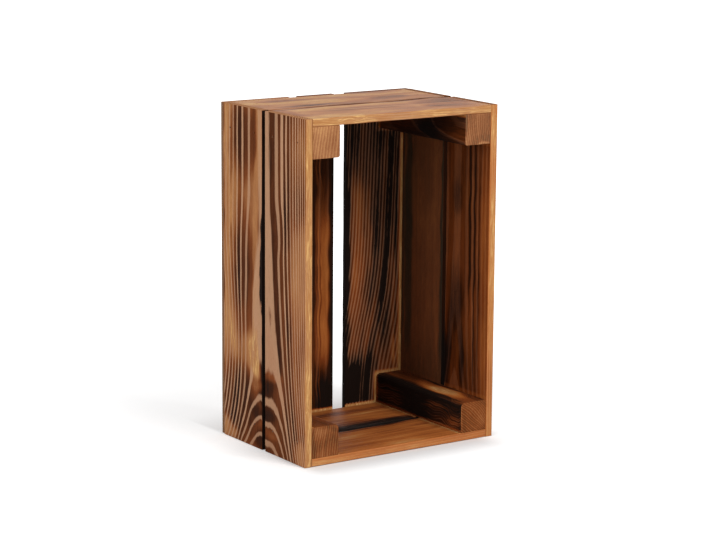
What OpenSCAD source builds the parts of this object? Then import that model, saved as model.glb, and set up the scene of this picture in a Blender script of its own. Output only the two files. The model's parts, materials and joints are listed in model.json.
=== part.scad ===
// Kindling box: a crate of flame-burnt pine boards that stands on one short end.
// +Z is up, the open mouth faces -Y, and the origin is the middle of the base.
// Four square battens run front to back in the corners. Planks in pairs are nailed
// to them on all four sides, and three boards close the back.

/* [Overall] */
// Outside width, across the mouth
box_w = 300; // [260:5:400]
// Outside height, as the box stands
box_h = 450; // [300:5:600]

/* [Planks] */
// Width of every side and end plank, front to back
plank_w = 97.5; // [85:0.5:130]
// Gap between a front plank and the plank behind it
plank_gap = 7; // [2:0.5:15]
// Thickness of the upright side planks
side_t = 11; // [9:0.5:14]
// Thickness of the top and bottom planks
end_t = 10.5; // [9:0.5:14]
// Radius of the planks' sanded long edges
plank_edge_r = 1.2; // [0.5:0.1:2]

/* [Back boards] */
// Thickness of the back boards
back_t = 8; // [7:0.5:12]
// Width of the middle back board, between the two outer ones
middle_board_w = 57; // [40:1:80]
// Gap between the left and the middle back board
left_gap = 14; // [5:1:22]
// Gap between the middle and the right back board
right_gap = 20; // [5:1:22]
// How far the outer back boards sit in from the faces of the sides
back_inset = 1.5; // [0:0.5:3]
// Radius of the back boards' sanded long edges
back_edge_r = 1; // [0.5:0.1:2]

/* [Battens] */
// Width and height of the square corner battens
batten_w = 41; // [36:1:48]
// Radius of the battens' long edges
batten_edge_r = 2.5; // [1:0.5:4]
// How far the battens' front ends sit behind the front edges of the planks
batten_recess = 0.5; // [0:0.5:5]

/* [Sawn ends] */
// Radius of the edges round the sawn ends of every board and batten
end_edge_r = 0.4; // [0.2:0.1:0.5]

/* [Nails] */
// Length of a nail
nail_l = 35; // [30:1:40]
// Diameter of a nail's shank
nail_d = 1.6; // [1.2:0.1:2]
// Length of a nail's point
nail_point = 3; // [2:0.5:5]
// Diameter of a nail's head
nail_head_d = 2.4; // [2.2:0.1:3.2]
// Thickness of a nail head's straight rim
nail_head_t = 0.5; // [0.3:0.1:0.8]
// Length of the taper under a nail's head
nail_neck = 0.8; // [0.6:0.1:1.6]
// How deep the nail heads are punched below the face of the wood
nail_set = 0.6; // [0.2:0.1:1]
// Distance between the two nails at each end of a side plank
side_nail_pitch = 60; // [50:1:66]
// Distance between the two nails at each end of a top or bottom plank
end_nail_pitch = 30; // [16:1:36]
// Offset along each axis between the two nails at each end of an outer back board
back_nail_pitch = 20; // [12:1:24]
// Distance from the middle back board's long edges to its nails
middle_nail_edge = 14; // [6:1:16]

/* [Hidden] */

// Signs that name a side, an end or a row in the modules below
LEFT = -1;
RIGHT = 1;
BOTTOM = -1;
TOP = 1;
FRONT = -1;
REAR = 1;
PAIR = [-1, 1];

// The frame is two rows of planks and the gap between them, and the back lies behind it
frame_d = 2 * plank_w + plank_gap;
box_d = frame_d + back_t;
frame_y = -back_t / 2;
rear_y = box_d / 2;

end_plank_l = box_w - 2 * side_t;
batten_l = frame_d - batten_recess;
outer_board_w = (box_w - middle_board_w - left_gap - right_gap) / 2 - back_inset;
outer_board_x = box_w / 2 - back_inset - outer_board_w / 2;
middle_board_x = (left_gap - right_gap) / 2;

// The punched hole above a nail's head runs this far past the face it opens in
cut_past = 1;
round_fn = 32;

// The colours of the burnt, oiled wood
tan = [0.69, 0.48, 0.31];
burnt_brown = [0.45, 0.25, 0.13];
oiled_brown = [0.58, 0.36, 0.2];
end_grain = [0.62, 0.43, 0.28];
nail_grey = [0.42, 0.4, 0.38];

// Middle of a row of planks, along Y
function row_y(row) = frame_y + row * (plank_w + plank_gap) / 2;

// Middle of the top or bottom planks, along Z
function end_plank_z(end) = box_h / 2 + end * (box_h - end_t) / 2;

// Middle of a corner batten, along X and along Z
function batten_x(side) = side * (box_w / 2 - side_t - batten_w / 2);
function batten_z(end) = box_h / 2 + end * (box_h / 2 - end_t - batten_w / 2);

// Rectangle with true round corners
module rounded_rectangle(size, r) {
  square([size.x, size.y - 2 * r], center = true);
  square([size.x - 2 * r, size.y], center = true);
  for (x = PAIR, y = PAIR)
    translate([x * (size.x / 2 - r), y * (size.y / 2 - r)]) circle(r, $fn = round_fn);
}

// Board of a given thickness (X), width (Y) and length (Z): sanded long edges, sawn ends
module board(size, long_r) {
  intersection() {
    linear_extrude(size.z, center = true)
      rounded_rectangle([size.x, size.y], long_r);
    rotate([90, 0, 0]) linear_extrude(size.y, center = true)
      rounded_rectangle([size.x, size.z], end_edge_r);
    rotate([90, 0, 90]) linear_extrude(size.x, center = true)
      rounded_rectangle([size.y, size.z], end_edge_r);
  }
}

// One nail, driven down -Z, with the top of its head at the origin
module nail() {
  head_r = nail_head_d / 2;
  shank_r = nail_d / 2;
  rotate_extrude($fn = round_fn)
    polygon([
      [0, 0], [head_r, 0], [head_r, -nail_head_t], [shank_r, -nail_head_t - nail_neck],
      [shank_r, nail_point - nail_l], [0, -nail_l]
    ]);
}

// What a driven nail takes out of the wood: its own shape, and the punched hole above it
module nail_hole() {
  nail();
  cylinder(h = nail_set + cut_past, d = nail_head_d, $fn = round_fn);
}

// A child at each nail that goes through a side's planks into the battens
module at_side_nails(side) {
  for (row = [FRONT, REAR], end = [BOTTOM, TOP], nail_no = PAIR)
    translate([
      side * (box_w / 2 - nail_set),
      row_y(row) + nail_no * side_nail_pitch / 2,
      batten_z(end)
    ])
      rotate([0, side * 90, 0]) children();
}

// A child at each nail that goes through the top or bottom planks into the battens
module at_end_nails(end) {
  for (row = [FRONT, REAR], side = [LEFT, RIGHT], nail_no = PAIR)
    translate([
      batten_x(side),
      row_y(row) + nail_no * end_nail_pitch / 2,
      box_h / 2 + end * (box_h / 2 - nail_set)
    ])
      rotate([90 - end * 90, 0, 0]) children();
}

// A child at each nail that goes through an outer back board into a batten's rear end
module at_outer_back_nails() {
  for (side = [LEFT, RIGHT], end = [BOTTOM, TOP], nail_no = PAIR)
    translate([
      batten_x(side) + nail_no * back_nail_pitch / 2,
      rear_y - nail_set,
      batten_z(end) + side * end * nail_no * back_nail_pitch / 2
    ])
      rotate([-90, 0, 0]) children();
}

// A child at each nail that goes through the middle back board into a rear end plank
module at_middle_back_nails() {
  for (end = [BOTTOM, TOP], nail_no = PAIR)
    translate([
      middle_board_x + nail_no * (middle_board_w / 2 - middle_nail_edge),
      rear_y - nail_set,
      end_plank_z(end)
    ])
      rotate([-90, 0, 0]) children();
}

// Upright plank of a side
module side_plank(side, row) {
  difference() {
    translate([side * (box_w - side_t) / 2, row_y(row), box_h / 2])
      board([side_t, plank_w, box_h], plank_edge_r);
    at_side_nails(side) nail_hole();
  }
}

// Level plank of the top or the bottom, between the sides
module end_plank(end, row) {
  difference() {
    translate([0, row_y(row), end_plank_z(end)])
      rotate([0, 90, 0]) board([end_t, plank_w, end_plank_l], plank_edge_r);
    at_end_nails(end) nail_hole();
    at_middle_back_nails() nail_hole();
  }
}

// Upright board of the back
module back_board(x, w) {
  difference() {
    translate([x, rear_y - back_t / 2, box_h / 2])
      rotate([0, 0, 90]) board([back_t, w, box_h], back_edge_r);
    at_outer_back_nails() nail_hole();
    at_middle_back_nails() nail_hole();
  }
}

// Square batten in one corner, from the front to the back boards
module corner_batten(side, end) {
  difference() {
    translate([batten_x(side), frame_y + batten_recess / 2, batten_z(end)])
      rotate([90, 0, 0]) board([batten_w, batten_w, batten_l], batten_edge_r);
    at_side_nails(side) nail_hole();
    at_end_nails(end) nail_hole();
    at_outer_back_nails() nail_hole();
  }
}

module left_front_plank() { color(tan) side_plank(LEFT, FRONT); }
module left_rear_plank() { color(tan) side_plank(LEFT, REAR); }
module right_front_plank() { color(burnt_brown) side_plank(RIGHT, FRONT); }
module right_rear_plank() { color(burnt_brown) side_plank(RIGHT, REAR); }
module top_front_plank() { color(tan) end_plank(TOP, FRONT); }
module top_rear_plank() { color(tan) end_plank(TOP, REAR); }
module bottom_front_plank() { color(oiled_brown) end_plank(BOTTOM, FRONT); }
module bottom_rear_plank() { color(oiled_brown) end_plank(BOTTOM, REAR); }
module back_left_board() { color(burnt_brown) back_board(-outer_board_x, outer_board_w); }
module back_middle_board() { color(oiled_brown) back_board(middle_board_x, middle_board_w); }
module back_right_board() { color(burnt_brown) back_board(outer_board_x, outer_board_w); }
module top_left_batten() { color(end_grain) corner_batten(LEFT, TOP); }
module top_right_batten() { color(end_grain) corner_batten(RIGHT, TOP); }
module bottom_left_batten() { color(end_grain) corner_batten(LEFT, BOTTOM); }
module bottom_right_batten() { color(end_grain) corner_batten(RIGHT, BOTTOM); }
module left_side_nails() { color(nail_grey) at_side_nails(LEFT) nail(); }
module right_side_nails() { color(nail_grey) at_side_nails(RIGHT) nail(); }
module top_nails() { color(nail_grey) at_end_nails(TOP) nail(); }
module bottom_nails() { color(nail_grey) at_end_nails(BOTTOM) nail(); }
module back_nails() {
  color(nail_grey) {
    at_outer_back_nails() nail();
    at_middle_back_nails() nail();
  }
}

left_front_plank();
left_rear_plank();
right_front_plank();
right_rear_plank();
top_front_plank();
top_rear_plank();
bottom_front_plank();
bottom_rear_plank();
back_left_board();
back_middle_board();
back_right_board();
top_left_batten();
top_right_batten();
bottom_left_batten();
bottom_right_batten();
left_side_nails();
right_side_nails();
top_nails();
bottom_nails();
back_nails();
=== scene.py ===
"""Kindling box of flame-burnt pine: fifteen boards and battens and their nails, in a plain studio."""
import json
import math
from typing import NamedTuple

import bmesh
import bpy
import numpy as np
from bpy.props import FloatProperty, FloatVectorProperty, PointerProperty
from mathutils import Matrix, Vector, noise


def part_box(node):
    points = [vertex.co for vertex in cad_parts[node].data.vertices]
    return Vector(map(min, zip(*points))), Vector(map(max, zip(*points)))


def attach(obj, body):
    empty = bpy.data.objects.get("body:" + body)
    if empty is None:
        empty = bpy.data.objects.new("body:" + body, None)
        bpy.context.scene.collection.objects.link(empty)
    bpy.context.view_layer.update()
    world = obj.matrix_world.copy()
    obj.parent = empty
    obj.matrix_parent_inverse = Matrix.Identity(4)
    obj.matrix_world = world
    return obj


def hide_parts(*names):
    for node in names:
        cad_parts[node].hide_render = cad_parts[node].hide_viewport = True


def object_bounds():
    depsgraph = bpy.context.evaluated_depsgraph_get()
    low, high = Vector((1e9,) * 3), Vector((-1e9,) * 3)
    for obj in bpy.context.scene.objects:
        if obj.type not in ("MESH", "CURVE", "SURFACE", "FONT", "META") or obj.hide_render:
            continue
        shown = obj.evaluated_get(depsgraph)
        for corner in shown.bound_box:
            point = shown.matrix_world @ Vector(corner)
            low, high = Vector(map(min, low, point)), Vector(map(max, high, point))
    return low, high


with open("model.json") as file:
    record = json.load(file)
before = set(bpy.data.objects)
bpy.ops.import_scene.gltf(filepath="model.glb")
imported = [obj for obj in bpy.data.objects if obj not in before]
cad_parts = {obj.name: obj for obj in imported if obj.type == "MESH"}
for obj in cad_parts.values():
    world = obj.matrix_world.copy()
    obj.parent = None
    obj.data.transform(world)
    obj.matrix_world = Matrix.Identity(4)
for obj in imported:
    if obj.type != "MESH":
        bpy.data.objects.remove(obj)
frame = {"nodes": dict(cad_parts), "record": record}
CAD_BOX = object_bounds()

bl_info = {
    "name": "Burnt kindling box",
    "version": (1, 0, 0),
    "blender": (4, 5, 0),
    "location": "3D View > Sidebar > Kindling box",
    "description": "Dresses a nailed kindling box in flame-burnt, oiled pine",
    "category": "Object",
}

MM = 0.001
X, Y, Z = 0, 1, 2
FRONT = CAD_BOX[0][Y]
HALF_WIDTH, HALF_DEPTH = CAD_BOX[1][X], CAD_BOX[1][Y]
FACES = ("-x", "+x", "-y", "+y", "-z", "+z")
WOOD = [name for name in frame["nodes"] if not name.endswith("_nails")]
SLOTS = {part["node"]: part["material_slot"] for part in frame["record"]["subparts"]}
BOXES = {name: tuple(np.array(corner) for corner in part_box(name)) for name in WOOD}
BOX_MIDDLE = (np.array(CAD_BOX[0]) + np.array(CAD_BOX[1])) / 2

# Added to a board's seed, so that each kind of unevenness has its own noise.
DRIFT, PATCHES, UNEVEN, SWAY, TWIST = 11, 23, 37, 51, 67


# ------------------------------------------------------------------ settings

def shade(red, green, blue):
    """A colour as seen on a screen, 0 to 255, as Blender's linear values."""
    return tuple(
        v / 12.92 if v <= 0.04045 else ((v + 0.055) / 1.055) ** 2.4
        for v in (red / 255, green / 255, blue / 255)
    )


def colour(name, description, value):
    """A colour that a user may change."""
    return FloatVectorProperty(
        name=name, description=description, default=shade(*value), size=3, min=0, max=1, subtype="COLOR"
    )


def quantity(name, description, value, **limits):
    """A number from 0 up that a user may change."""
    return FloatProperty(name=name, description=description, default=value, min=0, **limits)


def length(name, description, value):
    """A length that a user may change, given in millimetres."""
    return quantity(name, description, value * MM, unit="LENGTH")


class BoardSettings(bpy.types.PropertyGroup):
    """Sizes of the boards' edges and surface."""

    plank_edge: length("Plank edge", "Rounding along the side and end planks", 1.2)
    back_edge: length("Back board edge", "Rounding along the back boards", 1.0)
    batten_edge: length("Batten edge", "Rounding of a batten's edges that lie against planks", 1.0)
    end_edge: length("End edge", "Rounding of the sawn ends", 0.4)
    cell_across: length("Cell across", "Mesh cell across the grain", 1.2)
    cell_along: length("Cell along", "Mesh cell along the grain", 3.0)
    relief: length("Relief", "How deep the flame sinks the soft wood between the rings", 0.22)
    unevenness: length("Unevenness", "How far a planed face wanders", 0.12)
    sway: length("Sway", "How far the fibres swing to each side as they run along", 1.0)
    pit_radius: length("Nail pit radius", "Opening over a punched nail head", 1.22)
    pit_depth: length("Nail pit depth", "Depth of the pit round a nail head", 0.8)
    shelter: length("Shelter", "Width of the unburnt seam where two pieces meet", 5.4)


class FinishSettings(bpy.types.PropertyGroup):
    """Colours of the burnt wood and the nails."""

    soft_bare: colour("Soft wood, bare", "Early wood that the flame hardly touched", (206, 156, 98))
    soft_toasted: colour("Soft wood, toasted", "Early wood, lightly burnt", (174, 118, 74))
    soft_brown: colour("Soft wood, browned", "Early wood, well burnt", (122, 64, 30))
    soft_dark: colour("Soft wood, dark", "Early wood, nearly charred", (62, 29, 11))
    hard_bare: colour("Ring, bare", "Late wood that the flame hardly touched", (176, 118, 66))
    hard_toasted: colour("Ring, toasted", "Late wood in burnt parts", (190, 145, 112))
    hard_brown: colour("Ring, browned", "Late wood in well burnt parts", (160, 112, 82))
    inside_toasted: colour("Inside, toasted", "Warm early wood inside the box", (188, 110, 52))
    inside_brown: colour("Inside, browned", "Well burnt early wood inside the box", (134, 66, 27))
    inside_ring: colour("Inside, ring", "Late wood inside the box", (158, 96, 60))
    inside_ring_dark: colour("Inside, dark ring", "Late wood where the inside is blackest", (84, 54, 42))
    char: colour("Char", "Wood that is burnt black", (30, 21, 17))
    film: colour("Soot film", "Grey film left by the smoke", (104, 90, 70))
    straw: colour("Straw", "Light streaks in bare wood", (226, 182, 118))
    gold: colour("Warm tone", "Resin-rich wood under the oil", (206, 146, 72))
    rust: colour("Red tone", "Reddish wood under the oil", (150, 78, 42))
    steel: colour("Nail steel", "Wire nail, clean", (120, 116, 112))
    soot: colour("Nail soot", "Burnt film on the nail heads", (48, 40, 36))
    gloss: quantity("Roughness", "Roughness of the oiled wood", 0.5, max=1)


class StageSettings(bpy.types.PropertyGroup):
    """Light, floor and camera."""

    key: quantity("Key light", "Large soft lamp, high in front", 46, unit="POWER")
    fill: quantity("Side light", "Soft lamp on the left", 30, unit="POWER")
    sky: quantity("Sky", "Strength of the light from all round", 0.45)
    floor: colour("Floor", "Plain pale floor", (240, 240, 240))
    floor_glow: quantity("Floor glow", "White that the camera sees on the floor beside the box", 0.27)


# ------------------------------------------------------------- the boards

class Figure(NamedTuple):
    """How the growth rings run in one board, in mm. Across counts from the front rim or the box's middle."""

    heart: float                # where the middle of the figure lies across the board
    first: float                # from the heart to the first ring
    power: float = 1.6          # above 1, the rings crowd away from the heart
    start: float = 0.0          # ring number at the heart
    pitch: float = 3.5          # ring spacing down through the board
    near: tuple = (0, 1, 1)     # arches at the heart: rings, reach along the board, sharpness
    far: tuple = (0, 1, 1)      # arches towards the edges
    lean: float = 0.0           # mm that the heart drifts over the board's length
    wave: float = 2.0           # mm that the heart wanders
    eddies: tuple = ()          # Spots whose burn gives rings added there
    width: float = 0.12         # half the width of the hard late wood, as a share of one ring
    core: float = 0.0           # how much wider the innermost ring is
    wide: tuple = ()            # Spots whose burn gives the width there
    twist: float = 0.0          # mm that the rings wander in depth


class Spot(NamedTuple):
    """A patch of a face with its own burn: middle and half sizes in mm, across and along, then the burn."""

    across: float
    along: float
    half_across: float
    half_along: float
    burn: float


class Burn(NamedTuple):
    """How the flame burnt one face, from 0, bare, to 1, char."""

    level: float                # the burn between the spots
    spots: tuple = ()
    shelter: float = 1.0        # how well the seams were sheltered
    patchy: float = 0.16        # how much the burn varies from place to place
    pale: float = 1.0           # how far the rings stand out
    soot: float = 0.0           # how much grey soot lies in the oil
    seam: float = 1.0           # above 1, the sheltered seams are narrower
    scorched: tuple = ()        # Spots whose burn gives how far the flame reached into the seams


class Board(NamedTuple):
    """One wooden piece."""

    node: str
    along: int                  # axis of the grain
    across: int
    through: int
    shown: int                  # side from which ring depth counts, -1 or 1
    figure: Figure
    faces: dict                 # face name to Burn
    rest: Burn = Burn(0.8)      # faces that faces doesn't name
    worn: float = 0.0           # mm of rounding on the edge that is free in the box, 0 as the other edges


SHELTERED = 0.06                # burn of a seam that another piece kept from the flame
MOST_BURNT = 1.15               # beyond 1, so that noise leaves a charred place black
RIM = Burn(0.13, (Spot(-145, 430, 20, 30, 0.20),), shelter=0.0, patchy=0.16)
RIM_WARM = Burn(0.21, (Spot(145, 60, 20, 90, 0.31),), shelter=0.0, patchy=0.18, pale=0.72)
CHARRED_END = Burn(MOST_BURNT, shelter=0.0, patchy=0.0, pale=0.0)
SAWN = Burn(0.45, shelter=0.0, patchy=0.1)

SIDE_PLANKS = (
    Board(
        "left_front_plank", Z, Y, X, -1,
        Figure(
            100.5, 32.5, 2.1, near=(3.4, 59, 1.5), far=(4.6, 110, 1), wave=0.8, width=0.15, core=0.11,
            eddies=(Spot(72, 405, 28, 90, 0.16), Spot(61, 300, 14, 28, -0.22)),
            wide=(Spot(60, 400, 13, 96, 0.27), Spot(20, 400, 14, 90, 0.20), Spot(84, 26, 24, 26, 0.13)),
        ),
        {
            "-x": Burn(0.74, (
                Spot(10, 240, 26, 90, 0.27), Spot(8, 110, 22, 70, 0.38), Spot(12, 400, 18, 62, 0.54),
                Spot(8, 10, 16, 20, 0.28), Spot(89, 181, 11, 17, 0.90), Spot(78, 104, 22, 8, 0.46),
                Spot(92, 86, 18, 13, 0.92), Spot(64, 160, 7, 60, 0.86), Spot(90, 53, 18, 9, 0.94),
                Spot(84, 27, 18, 7, 0.50),
            ), shelter=0.0),
            "-y": RIM, "-z": SAWN, "+z": SAWN, "+y": CHARRED_END,
        },
    ),
    Board(
        "left_rear_plank", Z, Y, X, -1,
        Figure(
            100.5, 36.2, 1.9, start=0.02, near=(3.65, 62, 1.65), far=(5.4, 84, 1), wave=0.8, width=0.14,
            eddies=(Spot(140, 235, 26, 75, -0.26), Spot(205, 10, 56, 190, 2.6), Spot(134, 40, 18, 60, 0.35)),
            wide=(Spot(165, 30, 34, 66, 0.18), Spot(116, 40, 22, 40, 0.11)),
        ),
        {
            "-x": Burn(0.21, (
                Spot(152, 325, 28, 60, 0.38),
                Spot(153, 412, 27, 52, 0.80), Spot(154, 228, 23, 78, 0.83), Spot(160, 46, 54, 62, 0.86),
                Spot(125, 418, 6, 50, 0.64), Spot(132, 205, 4, 50, 0.62), Spot(117, 182, 5, 22, 0.46),
                Spot(182, 384, 5, 40, 0.62), Spot(182, 258, 5, 40, 0.62), Spot(116, 330, 9, 50, 0.22),
                Spot(123, 124, 17, 30, 0.13), Spot(197, 300, 12, 190, 0.20), Spot(190, 10, 22, 16, 0.22),
                Spot(101, 250, 11, 100, 1.12), Spot(104, 215, 10, 34, 1.0), Spot(102, 110, 8, 50, 1.10),
                Spot(105, 78, 10, 16, 1.0), Spot(114, 50, 14, 12, 0.98),
                Spot(118, 84, 12, 9, 0.50), Spot(110, 12, 14, 16, 0.90),
                # The spot at 202.5 is painted shade: a dark line along the rear edge, in the seam with the
                # back board.
                Spot(202.5, 225, 2.6, 300, 0.78),
            ), shelter=0.0, patchy=0.09),
            "-y": CHARRED_END, "-z": SAWN, "+z": SAWN, "+y": SAWN,
        },
    ),
    Board(
        "right_front_plank", Z, Y, X, -1,
        Figure(73, 23, 1.55, near=(3, 60, 1), far=(0.8, 90, 1.4), wave=1.2, width=0.2),
        {
            "-x": Burn(0.64, (
                Spot(4, 190, 15, 190, 0.50), Spot(72, 318, 11, 24, 0.76), Spot(72, 172, 15, 46, 0.86),
                Spot(59, 100, 6, 42, 0.92), Spot(88, 98, 7, 48, 0.94), Spot(74, 78, 6, 44, 0.70),
                Spot(43, 290, 2.6, 110, 0.94), Spot(32, 225, 1.8, 200, 0.84),
                # The spot at 101 is painted shade: a dark line along the seam with the rear plank.
                Spot(22, 200, 2, 130, 0.78), Spot(101, 225, 4, 240, 0.94), Spot(96, 84, 7, 36, 0.98),
            ), shelter=0.30, pale=0.22, patchy=0.10),
            "-y": RIM_WARM, "+x": Burn(0.6, (Spot(20, 225, 26, 180, 0.3),), shelter=0.0),
            "-z": SAWN, "+z": Burn(0.8, shelter=0.0), "+y": CHARRED_END,
        },
    ),
    Board(
        "right_rear_plank", Z, Y, X, -1,
        Figure(140, 15, 1.4, wave=3.0, lean=10, near=(2.4, 80, 1.4)),
        {
            "-x": Burn(0.52, (
                Spot(122, 250, 12, 120, 0.46), Spot(186, 225, 8, 240, 0.94), Spot(199, 225, 3, 240, 0.86),
                Spot(106, 225, 3, 240, 0.94), Spot(107, 90, 6, 60, 0.95), Spot(150, 50, 60, 50, 0.62),
            ), shelter=0.12, pale=0.06, patchy=0.08, soot=0.30),
            "+x": Burn(0.30, (
                Spot(150, 90, 30, 80, 0.80), Spot(160, 360, 26, 60, 0.78), Spot(125, 250, 20, 60, 0.7),
            ), shelter=0.0),
            "-y": Burn(0.86, (Spot(145, 70, 9, 60, 1.1),), shelter=0.0, patchy=0.06, pale=0.0),
            "-z": SAWN, "+z": Burn(0.8, shelter=0.0), "+y": SAWN,
        },
    ),
)

END_PLANKS = (
    Board(
        "top_front_plank", X, Y, Z, 1,
        Figure(60, 12, 1.35, lean=-18, wave=5, width=0.2),
        {
            "+z": Burn(0.20, (
                Spot(56, 98, 34, 34, 0.56), Spot(80, 112, 12, 27, 0.80), Spot(36, 92, 8, 30, 0.72),
                Spot(70, -134, 34, 12, 0.50), Spot(94, -106, 6, 38, 0.66), Spot(60, -26, 17, 56, 0.40),
                Spot(97, 70, 5, 105, 0.82),
            ), shelter=0.0, pale=0.80, patchy=0.40),
            "-z": Burn(0.85, pale=0.1), "-y": RIM, "+y": Burn(0.6, shelter=0.0), "-x": SAWN, "+x": SAWN,
        },
    ),
    Board(
        "top_rear_plank", X, Y, Z, 1,
        Figure(165, 12, 1.3, lean=12, wave=5, width=0.2),
        {
            "+z": Burn(0.20, (
                Spot(172, -72, 7, 40, 0.72), Spot(121, -62, 6, 44, 0.72), Spot(138, 70, 13, 30, 0.66),
                Spot(201, 60, 5, 96, 0.66), Spot(104, 56, 5, 112, 0.82), Spot(150, 118, 7, 22, 0.10),
            ), shelter=0.0, pale=0.80, patchy=0.40),
            "-z": Burn(0.85, pale=0.1), "-y": Burn(0.6, shelter=0.0), "+y": SAWN, "-x": SAWN, "+x": SAWN,
        },
    ),
    Board(
        "bottom_front_plank", X, Y, Z, 1,
        Figure(35, 16, 1.4, lean=10, wave=4),
        {
            "+z": Burn(0.30, (
                Spot(96, 0, 4, 130, 0.90), Spot(8, 10, 10, 110, 0.24), Spot(60, 30, 16, 50, 0.38),
                Spot(80, -70, 12, 40, 0.46), Spot(34, 60, 9, 34, 0.20), Spot(84, 60, 8, 30, 0.40),
                Spot(30, -40, 7, 50, 0.34), Spot(70, 88, 5, 34, 0.60), Spot(88, -40, 3, 60, 0.56),
            ), pale=0.36, patchy=0.30, seam=1.8),
            "-z": Burn(0.35, (Spot(60, 40, 30, 60, 0.6),), shelter=0.0),
            "-y": Burn(0.26, shelter=0.0, patchy=0.2, pale=0.66),
            "+y": CHARRED_END, "-x": SAWN, "+x": SAWN,
        },
    ),
    Board(
        "bottom_rear_plank", X, Y, Z, 1,
        Figure(150, 14, 1.4, lean=-12, wave=4),
        {
            "+z": Burn(0.36, (
                Spot(106, 0, 15, 120, 1.08), Spot(124, -10, 9, 60, 0.66), Spot(150, -60, 8, 50, 0.52),
                Spot(176, 20, 8, 60, 0.54), Spot(196, 0, 6, 110, 0.34), Spot(160, 60, 4, 70, 0.24),
            ), pale=0.42, seam=1.8),
            "-z": Burn(0.3, (Spot(150, -40, 30, 60, 0.65),), shelter=0.0),
            "-y": CHARRED_END, "+y": SAWN, "-x": SAWN, "+x": SAWN,
        },
    ),
)

BACK_BOARDS = (
    Board(
        "back_left_board", Z, X, Y, -1,
        Figure(-60, 20, 1.4, wave=4, lean=10),
        {
            "-y": Burn(0.86, (Spot(-100, 200, 30, 90, 0.6),), pale=0.3),
            "+y": Burn(0.4, (Spot(-110, 330, 30, 70, 0.78), Spot(-70, 110, 26, 80, 0.78)), shelter=0.0),
            "-x": Burn(0.42, shelter=0.0, patchy=0.1, soot=0.55), "-z": SAWN, "+z": SAWN,
        },
    ),
    Board(
        "back_middle_board", Z, X, Y, -1,
        Figure(-34, 21, 1.3, wave=1.2, lean=3),
        {
            "-y": Burn(0.33, (
                Spot(6, 20, 40, 55, 1.08), Spot(6, 424, 40, 126, 0.88), Spot(25, 225, 7, 300, 0.95),
                Spot(-8, 225, 5, 260, 0.85), Spot(-1, 225, 1.2, 260, 0.70), Spot(4, 225, 1, 260, 0.60),
            ), pale=0.16),
            "+y": Burn(0.4, (Spot(-8, 250, 22, 90, 0.80),), shelter=0.0),
            "+x": CHARRED_END, "-z": SAWN, "+z": CHARRED_END,
        },
    ),
    Board(
        "back_right_board", Z, X, Y, -1,
        Figure(
            150, 5.22, 1.0, start=-4.02, pitch=6, near=(4.0, 92, 2), far=(4.6, 150, 3), lean=20, wave=0.5,
            width=0.22,
        ),
        {
            "-y": Burn(0.66, (
                Spot(45, 225, 7, 300, 1.12), Spot(90, 420, 70, 90, 0.95), Spot(90, 130, 18, 80, 0.84),
                Spot(96, 270, 8, 60, 0.92), Spot(112, 300, 17, 94, 0.96), Spot(113, 150, 13, 80, 0.91),
                Spot(58, 28, 44, 50, 1.14), Spot(98, 34, 10, 26, 0.78),
                Spot(64, 230, 9, 90, 0.50), Spot(132, 76, 8, 30, 0.26), Spot(130, 225, 2, 150, 1.0),
            ), pale=0.67, scorched=(Spot(108, 412, 34, 24, 0.85),)),
            "+y": Burn(0.4, (Spot(95, 120, 34, 80, 0.80), Spot(110, 360, 30, 50, 0.74)), shelter=0.0),
            "-x": CHARRED_END, "-z": SAWN, "+z": CHARRED_END,
        },
    ),
)

BATTENS = (
    Board(
        "top_left_batten", Y, X, Z, 1, Figure(-180, 4.4, 1.0, pitch=30, wave=2),
        {
            "-y": Burn(0.46, shelter=0.0, patchy=0.3),
            "+x": Burn(0.85, pale=0.3), "-z": Burn(0.85, pale=0.3), "+y": SAWN,
        },
        worn=3.0,
    ),
    Board(
        "top_right_batten", Y, X, Z, 1, Figure(160, 3.2, 1.0, pitch=34, wave=3, lean=8),
        {
            "-y": Burn(
                0.74, (Spot(98.5, 419, 2, 30, 0.98), Spot(118, 399, 24, 1.6, 0.34)),
                shelter=0.0, patchy=0.3, soot=0.2,
            ),
            "-x": Burn(0.86, pale=0.2, patchy=0.2), "-z": Burn(1.02, pale=0.0, patchy=0.06), "+y": SAWN,
        },
        worn=3.0,
    ),
    Board(
        "bottom_left_batten", Y, X, Z, 1, Figure(-180, 3.4, 1.0, pitch=26, wave=3),
        {
            "-y": Burn(
                0.74, (Spot(-138, 30, 3, 30, 0.98), Spot(-112, 46, 14, 3, 0.90)),
                shelter=0.0, patchy=0.3, pale=0.7,
            ),
            "+x": Burn(0.9, pale=0.2), "+z": Burn(0.62, pale=0.2, patchy=0.24), "+y": SAWN,
        },
        worn=6.0,
    ),
    Board(
        "bottom_right_batten", Y, X, Z, 1,
        Figure(150, 0.58, 0.6, pitch=3.6, wave=1.5, lean=4, eddies=(Spot(98, 14, 80, 13, -3.2),), twist=3.0),
        {
            "-y": Burn(
                0.82, (Spot(103, 24, 4, 16, 1.0), Spot(98.5, 36, 1.6, 18, 0.36)),
                shelter=0.0, patchy=0.3, pale=0.5,
            ),
            "-x": Burn(1.06, (
                Spot(30, 34, 18, 58, 0.88), Spot(24, 14, 9, 16, 0.70), Spot(38, 66, 5, 22, 0.72),
            ), shelter=0.5, pale=0.34, patchy=0.24),
            "+z": Burn(0.60, (
                # The spot at 120 is a pale lens of bare wood, made bright enough to paint its sheen too: a
                # painted highlight.
                Spot(120, 74, 13, 44, 0.13), Spot(104, 76, 3.4, 56, 0.98), Spot(106, 160, 9, 50, 0.92),
                Spot(136, 90, 3, 60, 0.92), Spot(134, 20, 8, 18, 0.74), Spot(127, 168, 12, 34, 0.76),
            ), shelter=0.0, pale=0.2),
            "+y": SAWN,
        },
        worn=5.5,
    ),
)


# -------------------------------------------------------------- the meshes

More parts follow.
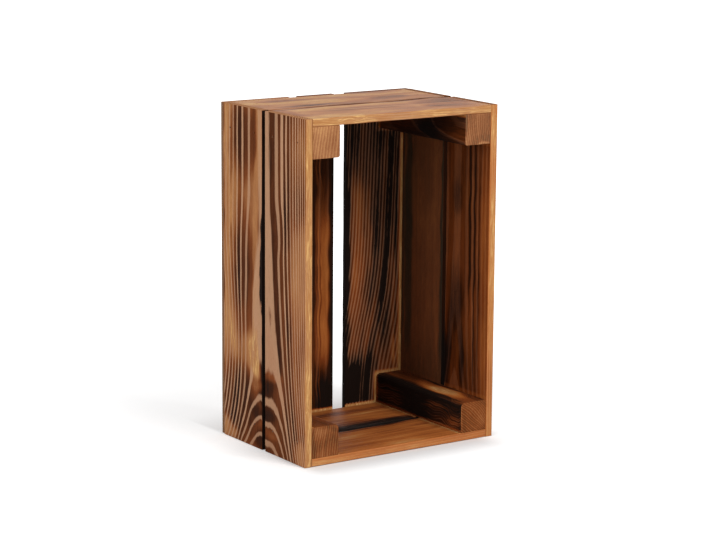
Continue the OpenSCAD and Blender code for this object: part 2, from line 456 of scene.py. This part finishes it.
HALF_FALL = 0.69                # ln 2: a spot is half as strong at the edge of its half sizes
PROBE = 8 * MM                  # shelter is felt at a point this far in front of a face
TOUCHING = 1e-6                 # metres within which a point lies on a face
FINE = (0.02, 0.02, 0.02)       # scale of small unevenness, in metres
SEED_STEP = np.array((7.31, 3.17, 5.73))            # from one seed's place in the noise to the next
NOISE_GAIN = 1.6                # brings the noise to about -1 to 1
WORN_STEPS, EDGE_STEPS, END_STEPS = 8, 4, 2         # facets of the rounded edges
PIT_SIDES, PIT_PATCH, PIT_LIP = 20, 1.9, 1.06       # the last two as shares of the pit's radius
HEAD_LEVEL, HEAD_SPREAD = 1e-5, 4 * MM              # how near together the points of one nail head lie
ARCH_REACH = 60                 # mm from a figure's heart to where its far arches alone count
PUNCHED = 2 * MM                # a nail head this near to a face belongs to it
END_BAND = 20 * MM              # shorter edges along the grain belong to the rounded ends
GRAIN_STEP = 0.377              # metres between the places of two boards in the grain's pattern
DRIFT_ACROSS, DRIFT_ALONG = 2, 7                    # mm that a spot's border wanders


def near_level(distance, start, end):
    """Falls smoothly from 1 at start to 0 at end, for arrays."""
    t = np.clip((distance - start) / (end - start), 0, 1)
    return 1 - t * t * (3 - 2 * t)


def triples(rows, field):
    """A field of three numbers of each row of a mesh, as an array."""
    values = np.empty(len(rows) * 3)
    rows.foreach_get(field, values)
    return values.reshape(-1, 3)


def grain_scales(board, fine, long):
    """Scales of a noise in metres: fine across and through the grain, long along it."""
    return [long if axis == board.along else fine for axis in (X, Y, Z)]


def wander(points, size, seed):
    """Smooth noise from about -1 to 1 at each point, with its scale on the three axes in metres."""
    scaled = points / np.array(size) + SEED_STEP * seed
    return np.array([noise.noise(Vector(p)) for p in scaled]) * NOISE_GAIN


def rounded_block(board, long_edge, end_edge):
    """A board's block with its long edges and its sawn ends rounded."""
    low, high = BOXES[board.node]
    sides = (board.across, board.through)
    bm = bmesh.new()
    bmesh.ops.create_cube(bm, size=1.0)
    bmesh.ops.scale(bm, vec=Vector(high - low), verts=bm.verts)
    bmesh.ops.translate(bm, vec=Vector((low + high) / 2), verts=bm.verts)

    def runs_along(edge):
        way = edge.verts[1].co - edge.verts[0].co
        return abs(way[board.along]) > 0.99 * way.length

    def is_sharp(edge):
        place = edge.verts[0].co
        gaps = (min(abs(place[a] - low[a]), abs(place[a] - high[a])) for a in sides)
        return runs_along(edge) and all(gap < TOUCHING for gap in gaps)

    def is_free(edge):
        """Whether the edge faces the middle of the box."""
        place, middle = edge.verts[0].co, (low + high) / 2
        return all((place[a] - middle[a]) * (BOX_MIDDLE[a] - middle[a]) > 0 for a in sides)

    def bevel(edges, radius, segments):
        bmesh.ops.bevel(
            bm, geom=edges, offset=radius, offset_type="OFFSET", segments=segments,
            profile=0.5, affect="EDGES", material=-1, clamp_overlap=True,
        )
        bm.normal_update()

    if board.worn:
        bevel([e for e in bm.edges if is_sharp(e) and is_free(e)], board.worn * MM, WORN_STEPS)
    bevel([e for e in bm.edges if is_sharp(e)], long_edge, EDGE_STEPS)
    ends = [f for f in bm.faces if abs(f.normal[board.along]) > 0.9]
    bevel(list({e for f in ends for e in f.edges}), end_edge, END_STEPS)
    return bm, runs_along


def cut_into_cells(bm, axis, low, high, cell):
    """Cuts a block with level planes about one cell apart."""
    count = max(1, round((high - low) / cell))
    normal = Vector((axis == X, axis == Y, axis == Z))
    for k in range(1, count):
        bmesh.ops.bisect_plane(
            bm, geom=bm.verts[:] + bm.edges[:] + bm.faces[:], dist=1e-7,
            plane_co=normal * (low + (high - low) * k / count), plane_no=normal,
        )


def nail_heads():
    """Each nail head's middle and the way it faces, from the outermost points of the nails' nodes."""
    heads = []
    for node, axis, sign in (
        ("left_side_nails", X, -1), ("right_side_nails", X, 1), ("top_nails", Z, 1),
        ("bottom_nails", Z, -1), ("back_nails", Y, 1),
    ):
        points = triples(frame["nodes"][node].data.vertices, "co")
        level = points[:, axis] * sign
        rims = []
        for point in points[level > level.max() - HEAD_LEVEL]:
            rim = next((r for r in rims if np.linalg.norm(r[0] - point) < HEAD_SPREAD), None)
            if rim is None:
                rims.append([point])
            else:
                rim.append(point)
        heads += [((np.min(r, 0) + np.max(r, 0)) / 2, axis, sign) for r in rims]
    return heads


def punch_pit(bm, head, axis, sign, surface, radius, depth):
    """Opens a round pit in a face over a nail head, with a softened lip."""
    middle = Vector(head)
    middle[axis] = surface
    out = Vector((0, 0, 0))
    out[axis] = sign
    patch = [
        f for f in bm.faces
        if f.normal[axis] * sign > 0.9 and (f.calc_center_median() - middle).length < radius * PIT_PATCH
    ]
    edge_of_patch = [
        e for e in {e for f in patch for e in f.edges}
        if sum(f in patch for f in e.link_faces) == 1
    ]
    bmesh.ops.delete(bm, geom=patch, context="FACES")
    turn = out.to_track_quat("Z", "Y").to_matrix().to_4x4()
    lip = bmesh.ops.create_circle(
        bm, cap_ends=False, radius=radius * PIT_LIP, segments=PIT_SIDES,
        matrix=Matrix.Translation(middle) @ turn,
    )["verts"]
    loop = list({e for v in lip for e in v.link_edges})
    bmesh.ops.bridge_loops(bm, edges=edge_of_patch + loop)
    for step, (spread, sink) in enumerate(((1.0, 0.12 * MM), (0.95, depth))):
        made = bmesh.ops.extrude_edge_only(bm, edges=loop)["geom"]
        verts = [g for g in made if isinstance(g, bmesh.types.BMVert)]
        loop = [g for g in made if isinstance(g, bmesh.types.BMEdge)]
        for v in verts:
            flat = v.co - middle
            flat[axis] = 0
            v.co = middle + flat.normalized() * radius * spread - out * sink
        for e in loop:
            e.smooth = step == 1
    bmesh.ops.holes_fill(bm, edges=loop, sides=0)


def place_on(board, points):
    """Each point's place across and along a board, in mm. The y axis counts from the front rim."""
    place = (points - (0, FRONT, 0)) / MM
    return place[:, board.across], place[:, board.along]


def ring_number(board, points, seed):
    """Which growth ring each point lies in: whole numbers fall on the hard late wood."""
    figure = board.figure
    low, high = BOXES[board.node]
    across, along_mm = place_on(board, points)
    along = points[:, board.along]
    share = (along - low[board.along]) / (high[board.along] - low[board.along])
    surface = (low if board.shown < 0 else high)[board.through]
    depth = np.abs(points[:, board.through] - surface) / MM
    if figure.twist:
        depth = depth + figure.twist * wander(points, FINE, seed + TWIST) * np.clip(depth / 6, 0, 1)
    swing = wander(points, grain_scales(board, 0.05, 0.16), seed)
    heart = figure.heart + figure.lean * (share - 0.5) + figure.wave * swing
    distance = np.abs(across - heart)
    end = share * (high[board.along] - low[board.along]) / MM

    def arches(shape):
        count, reach, sharp = shape
        return count * np.exp(-((end / reach) ** sharp))

    edge_share = 1 - near_level(distance, 0, ARCH_REACH)
    bend = arches(figure.near) * (1 - edge_share) + arches(figure.far) * edge_share
    for eddy in figure.eddies:
        bend = bend - spots_over(0.0, (eddy,), across, along_mm)
    return figure.start + (distance / figure.first) ** figure.power + depth / figure.pitch - bend


def spots_over(level, spots, across, along):
    """A level over a face, with each spot blended in turn over what lies under it."""
    for spot in spots:
        beside = (across - spot.across) / spot.half_across
        beyond = (along - spot.along) / spot.half_along
        weight = np.exp(-HALF_FALL * (beside**2 + beyond**2) ** 2)
        level = level + (spot.burn - level) * weight
    return level


def ring_width(board, points, ring):
    """Half the width of the hard late wood, as a share of one ring."""
    figure = board.figure
    width = spots_over(figure.width, figure.wide, *place_on(board, points))
    return width + figure.core * near_level(np.abs(ring), 0.3, 0.9)


def shelter_of(board, points, normals, reach):
    """1 in the seams that another piece kept from the flame, falling to 0 a little way out."""
    probe = points + normals * PROBE
    nearest = np.full(len(points), 1.0)
    for name, (low, high) in BOXES.items():
        if name != board.node:
            gap = np.maximum(np.maximum(low - probe, probe - high), 0)
            nearest = np.minimum(nearest, np.linalg.norm(gap, axis=1))
    return near_level(nearest, reach * 0.35, reach)


def burn_of(board, points, normals, seed, reach):
    """At each point: how far the flame went, 0 bare to 1 char, how far the rings stand out, and the soot."""
    place = points / MM - (0, FRONT / MM, 0)
    weights = np.maximum(normals, 0) ** 2, np.maximum(-normals, 0) ** 2
    sheltered = shelter_of(board, points, normals, reach)
    drift = wander(points, (0.03, 0.03, 0.03), seed + DRIFT)
    patches = wander(points, grain_scales(board, 0.022, 0.07), seed + PATCHES)
    total, pale, soot = (np.zeros(len(points)) for _ in range(3))
    for face in FACES:
        axis = "xyz".index(face[1])
        weight = weights[face[0] == "-"][:, axis]
        burn = board.faces.get(face, board.rest)
        flat = [a for a in (X, Y, Z) if a != axis]
        along = board.along if board.along in flat else flat[1]
        across = next(a for a in flat if a != along)
        spot = place[:, across] + DRIFT_ACROSS * drift, place[:, along] + DRIFT_ALONG * drift
        level = spots_over(burn.level, burn.spots, *spot) + burn.patchy * patches * 0.6
        kept = burn.shelter * sheltered**burn.seam * (1 - spots_over(0.0, burn.scorched, *spot))
        level = level * (1 - kept) + SHELTERED * kept
        total += weight * level
        pale += weight * burn.pale
        soot += weight * burn.soot
    return np.clip(total, 0, MOST_BURNT), pale, soot


def coat(mesh, name, values, kind="FLOAT"):
    """Stores values on a mesh's points under a name that its material reads."""
    layer = mesh.attributes.new(name, kind, "POINT")
    field = "value" if kind == "FLOAT" else "vector"
    layer.data.foreach_set(field, np.asarray(values, dtype=np.float32).ravel())


def make_board(board, seed, long_edge, settings, material):
    """Builds one burnt board in the place of its CAD node."""
    low, high = BOXES[board.node]
    bm, runs_along = rounded_block(board, long_edge, settings.end_edge)
    for axis in (board.across, board.through):
        cut_into_cells(bm, axis, low[axis] + long_edge, high[axis] - long_edge, settings.cell_across)
    long_edges = [e for e in bm.edges if runs_along(e) and e.calc_length() > END_BAND]
    cuts = round((high - low)[board.along] / settings.cell_along) - 1
    bmesh.ops.subdivide_edges(bm, edges=long_edges, cuts=cuts, use_grid_fill=True)
    for face in bm.faces:
        face.smooth = True
    bm.normal_update()
    outside_pits = set(bm.verts)
    for head, axis, sign in nail_heads():
        others = [a for a in (X, Y, Z) if a != axis]
        surface = (low if sign < 0 else high)[axis]
        if abs(head[axis] - surface) < PUNCHED and all(low[a] < head[a] < high[a] for a in others):
            punch_pit(bm, head, axis, sign, surface, settings.pit_radius, settings.pit_depth)
    bmesh.ops.recalc_face_normals(bm, faces=bm.faces[:])
    bm.normal_update()
    flat = np.array([v in outside_pits for v in bm.verts])

    mesh = bpy.data.meshes.new(board.node)
    bm.to_mesh(mesh)
    bm.free()
    points, normals = triples(mesh.vertices, "co"), triples(mesh.vertex_normals, "vector")

    ring = ring_number(board, points, seed)
    burn, pale, soot = burn_of(board, points, normals, seed, settings.shelter)
    end = np.abs(normals[:, board.along])
    grain = points[:, [board.across, board.through, board.along]] + seed * GRAIN_STEP
    grain[:, :2] += settings.sway * wander(points, FINE, seed + SWAY)[:, None]

    # The flame sinks the soft wood between the rings, and a planed face is never quite level.
    sunk = np.clip(np.abs((ring + 0.5) % 1 - 0.5) * 3 - 0.3, 0, 1) * np.clip(burn, 0, 1)
    rough = 0.5 + 0.5 * np.clip(wander(points, (0.02, 0.02, 0.05), seed + UNEVEN), -1, 1)
    inward = (settings.relief * sunk + settings.unevenness * rough) * (1 - end) * flat
    points = np.clip(points - normals * inward[:, None], low, high)
    mesh.vertices.foreach_set("co", points.astype(np.float32).ravel())

    width = ring_width(board, points, ring)
    coats = {"ring": ring, "burn": burn, "pale": pale, "soot": soot, "width": width, "end": end}
    for name, values in coats.items():
        coat(mesh, name, values)
    coat(mesh, "grain", grain, "FLOAT_VECTOR")
    mesh.materials.append(material)
    mesh.update()

    piece = bpy.data.objects.new("burnt_" + board.node, mesh)
    bpy.context.scene.collection.objects.link(piece)
    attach(piece, "root")
    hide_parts(board.node)


# ----------------------------------------------------------- the materials

class Shader:
    """Writes one node tree. add makes any node, and the rest are short names for what the wood needs."""

    def __init__(self, owner):
        owner.use_nodes = True
        self.tree = owner.node_tree
        self.tree.nodes.clear()

    def add(self, kind, settings=None, sockets=None):
        """Adds a node: its type, its settings, then the values or links of its sockets."""
        node = self.tree.nodes.new("ShaderNode" + kind)
        for name, value in (settings or {}).items():
            if name == "stops":
                stops = node.color_ramp.elements
                while len(stops) < len(value):
                    stops.new(0.5)
                for stop, (position, tone) in zip(stops, value):
                    stop.position = position
                    stop.color = (*tone, 1.0)
            else:
                setattr(node, name, value)
        for name, value in (sockets or {}).items():
            value = getattr(value, "socket", value)
            if isinstance(value, bpy.types.NodeSocket):
                self.tree.links.new(value, node.inputs[name])
            else:
                node.inputs[name].default_value = value
        return node

    def math(self, operation, *values):
        node = self.add("Math", {"operation": operation}, dict(enumerate(values)))
        return Amount(self, node.outputs[0])

    def attribute(self, name):
        return Amount(self, self.add("Attribute", {"attribute_name": name}).outputs["Fac"])

    def grain(self, *size):
        """The piece's own grain coordinates, scaled so that one unit is size mm across, through and along."""
        place = self.add("Attribute", {"attribute_name": "grain"}).outputs["Vector"]
        scale = tuple(1 / (MM * s) for s in size)
        return self.add("VectorMath", {"operation": "MULTIPLY"}, {0: place, 1: scale}).outputs[0]

    def noise(self, place, detail=2.0, roughness=0.5):
        node = self.add("TexNoise", None, {
            "Vector": place, "Scale": 1.0, "Detail": detail, "Roughness": roughness,
        })
        return Amount(self, node.outputs["Fac"])

    def ramp(self, level, stops):
        return self.add("ValToRGB", {"stops": stops}, {"Fac": level}).outputs["Color"]

    def mix(self, first, second, share, blend="MIX"):
        """Blends two colours."""
        first, second = ((*c, 1.0) if isinstance(c, tuple) else c for c in (first, second))
        node = self.add(
            "Mix", {"data_type": "RGBA", "blend_type": blend, "clamp_result": True},
            {0: share, 6: first, 7: second},
        )
        return node.outputs[2]


class Amount:
    """A number that varies over a surface. Arithmetic on it adds Math nodes."""

    def __init__(self, shader, socket):
        self.shader, self.socket = shader, socket

    def __add__(self, other):
        return self.shader.math("ADD", self, other)

    __radd__ = __add__

    def __sub__(self, other):
        return self.shader.math("SUBTRACT", self, other)

    def __rsub__(self, other):
        return self.shader.math("SUBTRACT", other, self)

    def __mul__(self, other):
        return self.shader.math("MULTIPLY", self, other)

    __rmul__ = __mul__

    def __abs__(self):
        return self.shader.math("ABSOLUTE", self)

    def fraction(self):
        return self.shader.math("FRACT", self)

    def floor(self):
        return self.shader.math("FLOOR", self)

    def between(self, start, end):
        """0 at start, 1 at end, smooth and level outside them."""
        node = self.shader.add(
            "MapRange", {"interpolation_type": "SMOOTHSTEP"},
            {"Value": self, "From Min": start, "From Max": end, "To Min": 0.0, "To Max": 1.0},
        )
        return Amount(self.shader, node.outputs["Result"])


def new_material(name, look):
    """A material and the Shader that writes it. look is the colour that the solid view shows."""
    material = bpy.data.materials.new(name)
    material.diffuse_color = (*look, 1.0)
    return material, Shader(material)


def burnt_pine(name, finish, sheen):
    """Pine burnt with a flame and oiled: pale hard rings stand over browned soft wood."""
    material, sh = new_material(name, tuple(finish.soft_toasted))
    ring, burn, pale = sh.attribute("ring"), sh.attribute("burn"), sh.attribute("pale")
    width, end = sh.attribute("width"), sh.attribute("end")

    # The rings waver, and each has its own strength.
    slow = sh.noise(sh.grain(38, 38, 160)) - 0.5
    quick = sh.noise(sh.grain(7, 7, 60)) - 0.5
    swell = sh.noise(sh.grain(5, 5, 45)) - 0.5
    number = ring + slow * 0.34 + quick * 0.12

    def hard_ring(count):
        edge = abs((count + 0.5).fraction() - 0.5)
        return (width + swell * 0.12 - edge).between(-0.06, 0.05)

    def own_of(index):
        """A random amount from -0.5 to 0.5 for each ring."""
        node = sh.add("TexWhiteNoise", {"noise_dimensions": "1D"}, {"W": index})
        return Amount(sh, node.outputs["Value"]) - 0.5

    hard = hard_ring(number) * (0.86 + own_of((number + 0.5).floor()) * 0.28)

    # How far the flame went at each place, which picks the colours.
    patch = sh.noise(sh.grain(26, 26, 90), 3.0) - 0.5
    streaks = sh.noise(sh.grain(2.6, 2.6, 70), 2.0, 0.6) - 0.5
    fibre = sh.noise(sh.grain(0.9, 0.9, 26), 3.0, 0.6) - 0.5
    by_ring = own_of(number.floor()) * 0.22 * burn * pale.between(-0.3, 0.6)
    heat = burn + patch * 0.20 + by_ring + streaks * 0.26 + fibre * 0.14

    soft = sh.ramp(heat, (
        (0.0, finish.soft_bare), (0.22, finish.soft_toasted), (0.5, finish.soft_brown),
        (0.84, finish.soft_dark), (1.12, finish.char),
    ))
    late = sh.ramp(heat, (
        (0.0, finish.hard_bare), (0.3, finish.hard_toasted), (0.88, finish.hard_toasted),
        (1.0, finish.hard_brown), (1.12, finish.char),
    ))
    inside_soft = sh.ramp(heat, (
        (0.0, finish.soft_bare), (0.22, finish.inside_toasted), (0.5, finish.inside_brown),
        (0.80, finish.soft_dark), (1.02, finish.char),
    ))
    inside_late = sh.ramp(heat, (
        (0.0, finish.soft_bare), (0.3, finish.inside_toasted), (0.6, finish.inside_ring),
        (0.9, finish.inside_ring_dark), (1.08, finish.char),
    ))
    outside = pale.between(0.5, 1.0)
    soft = sh.mix(inside_soft, soft, outside)
    late = sh.mix(sh.mix(soft, inside_late, pale.between(0.0, 0.4)), late, outside)
    wood = sh.mix(soft, late, hard)

    # Warm and red tones of the oiled wood, light streaks where it stayed bare, and soot.
    tone = sh.noise(sh.grain(60, 60, 120), 1.0)
    wood = sh.mix(wood, tuple(finish.gold), tone.between(0.50, 0.78) * 0.12 * (1 - heat.between(0.4, 0.8)))
    wood = sh.mix(wood, tuple(finish.rust), tone.between(0.48, 0.20) * 0.22 * (1 - heat.between(0.6, 0.95)))
    fresh = 1 - burn.between(0.10, 0.24)
    curl = sh.noise(sh.grain(1.5, 1.5, 34), 2.0, 0.6) - 0.5
    wood = sh.mix(wood, tuple(finish.straw), curl.between(0.02, 0.14) * fresh * 0.85)
    wood = sh.mix(wood, tuple(finish.hard_bare), curl.between(0.0, -0.12) * fresh * 0.75)
    wood = sh.mix(wood, tuple(finish.film), sh.attribute("soot"))

    # Fine dark fibres and pores.
    streak = sh.noise(sh.grain(0.5, 0.5, 14), 2.0, 0.6)
    wood = sh.mix(wood, (0.45, 0.36, 0.30), streak.between(0.50, 0.72) * 0.30, "MULTIPLY")
    pore = sh.noise(sh.grain(0.28, 0.28, 3.5), 1.0)
    wood = sh.mix(wood, (0.35, 0.26, 0.20), pore.between(0.60, 0.74) * 0.35, "MULTIPLY")

    # Sawn ends: the rings turn darker than the soft wood, and torn fibres show as short upright strokes.
    fleck = sh.noise(sh.grain(0.7, 0.7, 0.7), 3.0, 0.7) - 0.5
    stroke = sh.noise(sh.grain(1.1, 5.0, 5.0), 3.0, 0.6) - 0.5
    sawn = sh.ramp(heat + fleck * 0.30 + stroke * 0.50, (
        (0.0, finish.soft_bare), (0.35, finish.soft_toasted), (0.75, finish.soft_brown),
        (1.1, finish.soft_dark),
    ))
    sawn = sh.mix(sawn, tuple(finish.hard_toasted), outside * 0.16)
    sawn = sh.mix(sawn, tuple(finish.inside_brown), (1 - outside) * 0.40)
    sawn = sh.mix(sawn, tuple(finish.soft_brown), hard * 0.42)
    sawn = sh.mix(sawn, tuple(finish.straw), hard_ring(number + 0.5) * 0.14)
    is_end = end.between(0.55, 0.85)
    wood = sh.mix(wood, sawn, is_end)

    height = hard * 0.55 * burn + fibre * 0.35 + (streak - 0.5) * 0.25 + (fleck + stroke) * is_end * 0.4
    bump = sh.add("Bump", None, {"Strength": 0.5, "Distance": 0.35 * MM, "Height": height})
    rough = finish.gloss + (fibre * 0.25 + patch * 0.15) + heat.between(0.6, 1.0) * 0.08 + is_end * 0.14
    surface = sh.add("BsdfPrincipled", None, {
        "Base Color": wood, "Roughness": rough, "Normal": bump.outputs["Normal"], "Specular IOR Level": sheen,
    })
    sh.add("OutputMaterial", None, {"Surface": surface.outputs[0]})
    return material


def sooty_steel(finish):
    """Wire nail whose head was in the flame: grey steel under a thin brown-black film."""
    material, sh = new_material("sooty_steel", tuple(finish.steel))
    place = sh.add("TexCoord").outputs["Object"]

    def spread(size, detail):
        scaled = sh.add("VectorMath", {"operation": "SCALE"}, {0: place, "Scale": 1 / (size * MM)})
        return sh.noise(scaled.outputs[0], detail)

    cloud, grit = spread(1.6, 3.0), spread(0.25, 2.0)
    film = cloud.between(0.30, 0.62)
    base = sh.mix(tuple(finish.steel), tuple(finish.soot), film)
    base = sh.mix(base, tuple(finish.rust), grit.between(0.62, 0.75) * 0.5)
    bump = sh.add("Bump", None, {"Strength": 0.4, "Distance": 0.05 * MM, "Height": grit})
    surface = sh.add("BsdfPrincipled", None, {
        "Base Color": base, "Metallic": 1 - film * 0.7, "Roughness": 0.42 + film * 0.3,
        "Normal": bump.outputs["Normal"],
    })
    sh.add("OutputMaterial", None, {"Surface": surface.outputs[0]})
    return material


SHEEN, DRY_SHEEN = {"end_plank": 0.15}, 0.03        # the level planks kept more of the oil


def material_for(slot):
    """The one material of a slot, made when it is first asked for."""
    finish = bpy.context.scene.kindling_finish
    found = bpy.data.materials.get("burnt_" + slot)
    return found or burnt_pine("burnt_" + slot, finish, SHEEN.get(slot, DRY_SHEEN))


# ----------------------------------------------------------- the operators

def make_boards(boards, first_seed, edge_name):
    """Makes a group of boards, each with a seed of its own and the edge rounding of that name."""
    settings = bpy.context.scene.kindling_boards
    long_edge = getattr(settings, edge_name)
    for seed, board in enumerate(boards, first_seed):
        make_board(board, seed, long_edge, settings, material_for(SLOTS[board.node]))


class SidePlanks(bpy.types.Operator):
    """Make the four upright side planks"""

    bl_idname = "kindling.side_planks"
    bl_label = "Side planks"

    def execute(self, context):
        make_boards(SIDE_PLANKS, first_seed=1, edge_name="plank_edge")
        return {"FINISHED"}


class EndPlanks(bpy.types.Operator):
    """Make the four level planks of the top and bottom"""

    bl_idname = "kindling.end_planks"
    bl_label = "End planks"

    def execute(self, context):
        make_boards(END_PLANKS, first_seed=6, edge_name="plank_edge")
        return {"FINISHED"}


class BackBoards(bpy.types.Operator):
    """Make the three upright back boards"""

    bl_idname = "kindling.back_boards"
    bl_label = "Back boards"

    def execute(self, context):
        make_boards(BACK_BOARDS, first_seed=11, edge_name="back_edge")
        return {"FINISHED"}


class Battens(bpy.types.Operator):
    """Make the four square corner battens"""

    bl_idname = "kindling.battens"
    bl_label = "Corner battens"

    def execute(self, context):
        make_boards(BATTENS, first_seed=16, edge_name="batten_edge")
        return {"FINISHED"}


class Nails(bpy.types.Operator):
    """Finish the punched nails in sooty steel"""

    bl_idname = "kindling.nails"
    bl_label = "Nails"

    def execute(self, context):
        steel = sooty_steel(context.scene.kindling_finish)
        for name, node in frame["nodes"].items():
            if name.endswith("_nails"):
                node.data.materials.clear()
                node.data.materials.append(steel)
        return {"FINISHED"}


# The photograph's view: the camera's place in metres, its turn in degrees and its lens in mm.
CAMERA_AT = (-1.7399, -2.5861, 0.8403)
CAMERA_TURN, CAMERA_DIP, CAMERA_ROLL = -33.943, 11.15, 0.40
CAMERA_LENS, SENSOR_WIDTH = 119.78, 36.0

# The studio, in metres.
FLOOR_RADIUS, FLOOR_DROP = 14.0, 0.0004
LAMPS_AIM = (0, 0, 0.22)
KEY_AT, KEY_SIZE = (0.45, -2.3, 2.1), 1.2
SIDE_AT, SIDE_SIZE = (-2.6, -0.7, 1.3), 1.8


def aim_camera(scene):
    """Puts the camera where the photograph was taken from."""
    turn, dip, roll = (math.radians(a) for a in (CAMERA_TURN, CAMERA_DIP, CAMERA_ROLL))
    back = Vector((math.sin(turn) * math.cos(dip), -math.cos(turn) * math.cos(dip), math.sin(dip)))
    right = (-back).cross(Vector((0, 0, 1))).normalized()
    up = right.cross(-back)
    right, up = right * math.cos(roll) + up * math.sin(roll), up * math.cos(roll) - right * math.sin(roll)
    camera = bpy.data.objects.new("camera", bpy.data.cameras.new("camera"))
    camera.data.lens = CAMERA_LENS
    camera.data.sensor_width = SENSOR_WIDTH
    camera.matrix_world = Matrix.Translation(CAMERA_AT) @ Matrix((right, up, back)).transposed().to_4x4()
    scene.collection.objects.link(camera)
    scene.camera = camera


def soft_lamp(scene, name, at, size, power):
    """A round lamp that faces the box."""
    lamp = bpy.data.lights.new(name, "AREA")
    lamp.shape = "DISK"
    lamp.size = size
    lamp.energy = power
    lit = bpy.data.objects.new(name, lamp)
    way = Vector(LAMPS_AIM) - Vector(at)
    lit.matrix_world = Matrix.Translation(at) @ way.to_track_quat("-Z", "Y").to_matrix().to_4x4()
    scene.collection.objects.link(lit)


def seen_by(sh, *rays):
    """1 where one of these kinds of ray looks, 0 for the light that falls on the box."""
    path = sh.add("LightPath").outputs
    seen = Amount(sh, path[rays[0]])
    for ray in rays[1:]:
        seen = sh.math("MAXIMUM", seen, path[ray])
    return seen


def floor_glow_with_painted_shade(sh, settings):
    """How white the camera sees the floor: less beside the box, a painted shade that also lets its cast shade
    show.

    The places are in metres. They were set against the shade in the photograph.
    """
    place = sh.add("SeparateXYZ", None, {0: sh.add("TexCoord").outputs["Object"]}).outputs
    across, along = Amount(sh, place[X]), Amount(sh, place[Y])
    beside = sh.math("MAXIMUM", abs(across) - HALF_WIDTH, 0.0)
    beyond = sh.math("MAXIMUM", abs(along) - HALF_DEPTH, 0.0)
    away = sh.math("SQRT", beside * beside + beyond * beyond)
    # Near the box the glow is lower, a painted shade, lifted again at the rear left corner and on the right.
    rear_left = along.between(-0.04, 0.07) * across.between(-0.145, -0.155)
    right = across.between(0.152, 0.175)
    clear_of_painted_shade = sh.math("MAXIMUM", away.between(0.0, 0.11), sh.math("MAXIMUM", rear_left, right))
    glow_with_painted_shade = settings.floor_glow + clear_of_painted_shade * 0.18
    glow_with_painted_shade = glow_with_painted_shade + away.between(0.10, 0.50) * 0.20 + away.between(0.35, 1.2) * 0.3
    # Painted shade: the glow also fades in front of the box's mouth.
    painted_shade_before_mouth = along.between(-0.165, -0.105) * along.between(0.0, -0.08)
    painted_shade_before_mouth = painted_shade_before_mouth * across.between(-0.165, -0.135) * across.between(0.155, 0.115)
    return glow_with_painted_shade * (1 - painted_shade_before_mouth)


class Stage(bpy.types.Operator):
    """Set up the pale floor, the soft lamps and the camera"""

    bl_idname = "kindling.stage"
    bl_label = "Stage"

    def execute(self, context):
        scene, settings = context.scene, context.scene.kindling_stage
        scene.view_settings.view_transform = "Standard"

        bm = bmesh.new()
        bmesh.ops.create_circle(bm, cap_ends=True, segments=96, radius=FLOOR_RADIUS)
        bmesh.ops.translate(bm, vec=(0, 0, -FLOOR_DROP), verts=bm.verts)
        mesh = bpy.data.meshes.new("floor")
        bm.to_mesh(mesh)
        bm.free()
        floor = bpy.data.objects.new("floor", mesh)
        scene.collection.objects.link(floor)
        material, sh = new_material("pale_floor", tuple(settings.floor))
        matt = sh.add("BsdfDiffuse", None, {"Color": (*settings.floor, 1.0)})
        # The floor's glow for the camera, dimmed near the box as a painted shade.
        glow_with_painted_shade = sh.mix((0, 0, 0), (1, 1, 1), seen_by(sh, "Is Camera Ray") * floor_glow_with_painted_shade(sh, settings))
        glow = sh.add("Emission", None, {"Color": glow_with_painted_shade, "Strength": 1.0})
        both = sh.add("AddShader", None, {0: matt.outputs[0], 1: glow.outputs[0]})
        sh.add("OutputMaterial", None, {"Surface": both.outputs[0]})
        floor.data.materials.append(material)

        world = bpy.data.worlds.new("studio")
        scene.world = world
        sh = Shader(world)
        seen = seen_by(sh, "Is Camera Ray", "Is Glossy Ray", "Is Transmission Ray")
        light = sh.add("Background", None, {"Color": (1, 1, 1, 1), "Strength": settings.sky})
        white = sh.add("Background", None, {"Color": (1, 1, 1, 1), "Strength": 1.0})
        mixed = sh.add("MixShader", None, {0: seen, 1: light.outputs[0], 2: white.outputs[0]})
        sh.add("OutputWorld", None, {"Surface": mixed.outputs[0]})

        soft_lamp(scene, "key_lamp", KEY_AT, KEY_SIZE, settings.key)
        soft_lamp(scene, "side_lamp", SIDE_AT, SIDE_SIZE, settings.fill)
        aim_camera(scene)
        return {"FINISHED"}


OPERATORS = (SidePlanks, EndPlanks, BackBoards, Battens, Nails, Stage)


class KindlingPanel(bpy.types.Panel):
    """Lists the steps that make the kindling box"""

    bl_idname = "VIEW3D_PT_kindling_box"
    bl_label = "Kindling box"
    bl_space_type = "VIEW_3D"
    bl_region_type = "UI"
    bl_category = "Kindling box"

    def draw(self, context):
        for operator in OPERATORS:
            self.layout.operator(operator.bl_idname)
        scene = context.scene
        for group in (scene.kindling_boards, scene.kindling_finish, scene.kindling_stage):
            box = self.layout.box()
            for name in group.__annotations__:
                box.prop(group, name)


CLASSES = (BoardSettings, FinishSettings, StageSettings, *OPERATORS, KindlingPanel)


def register():
    for cls in CLASSES:
        bpy.utils.register_class(cls)
    bpy.types.Scene.kindling_boards = PointerProperty(type=BoardSettings)
    bpy.types.Scene.kindling_finish = PointerProperty(type=FinishSettings)
    bpy.types.Scene.kindling_stage = PointerProperty(type=StageSettings)


def unregister():
    for name in ("kindling_boards", "kindling_finish", "kindling_stage"):
        delattr(bpy.types.Scene, name)
    for cls in reversed(CLASSES):
        bpy.utils.unregister_class(cls)


def main():
    register()
    for operator in OPERATORS:
        group, name = operator.bl_idname.split(".")
        getattr(getattr(bpy.ops, group), name)()


if __name__ == "__main__":
    main()
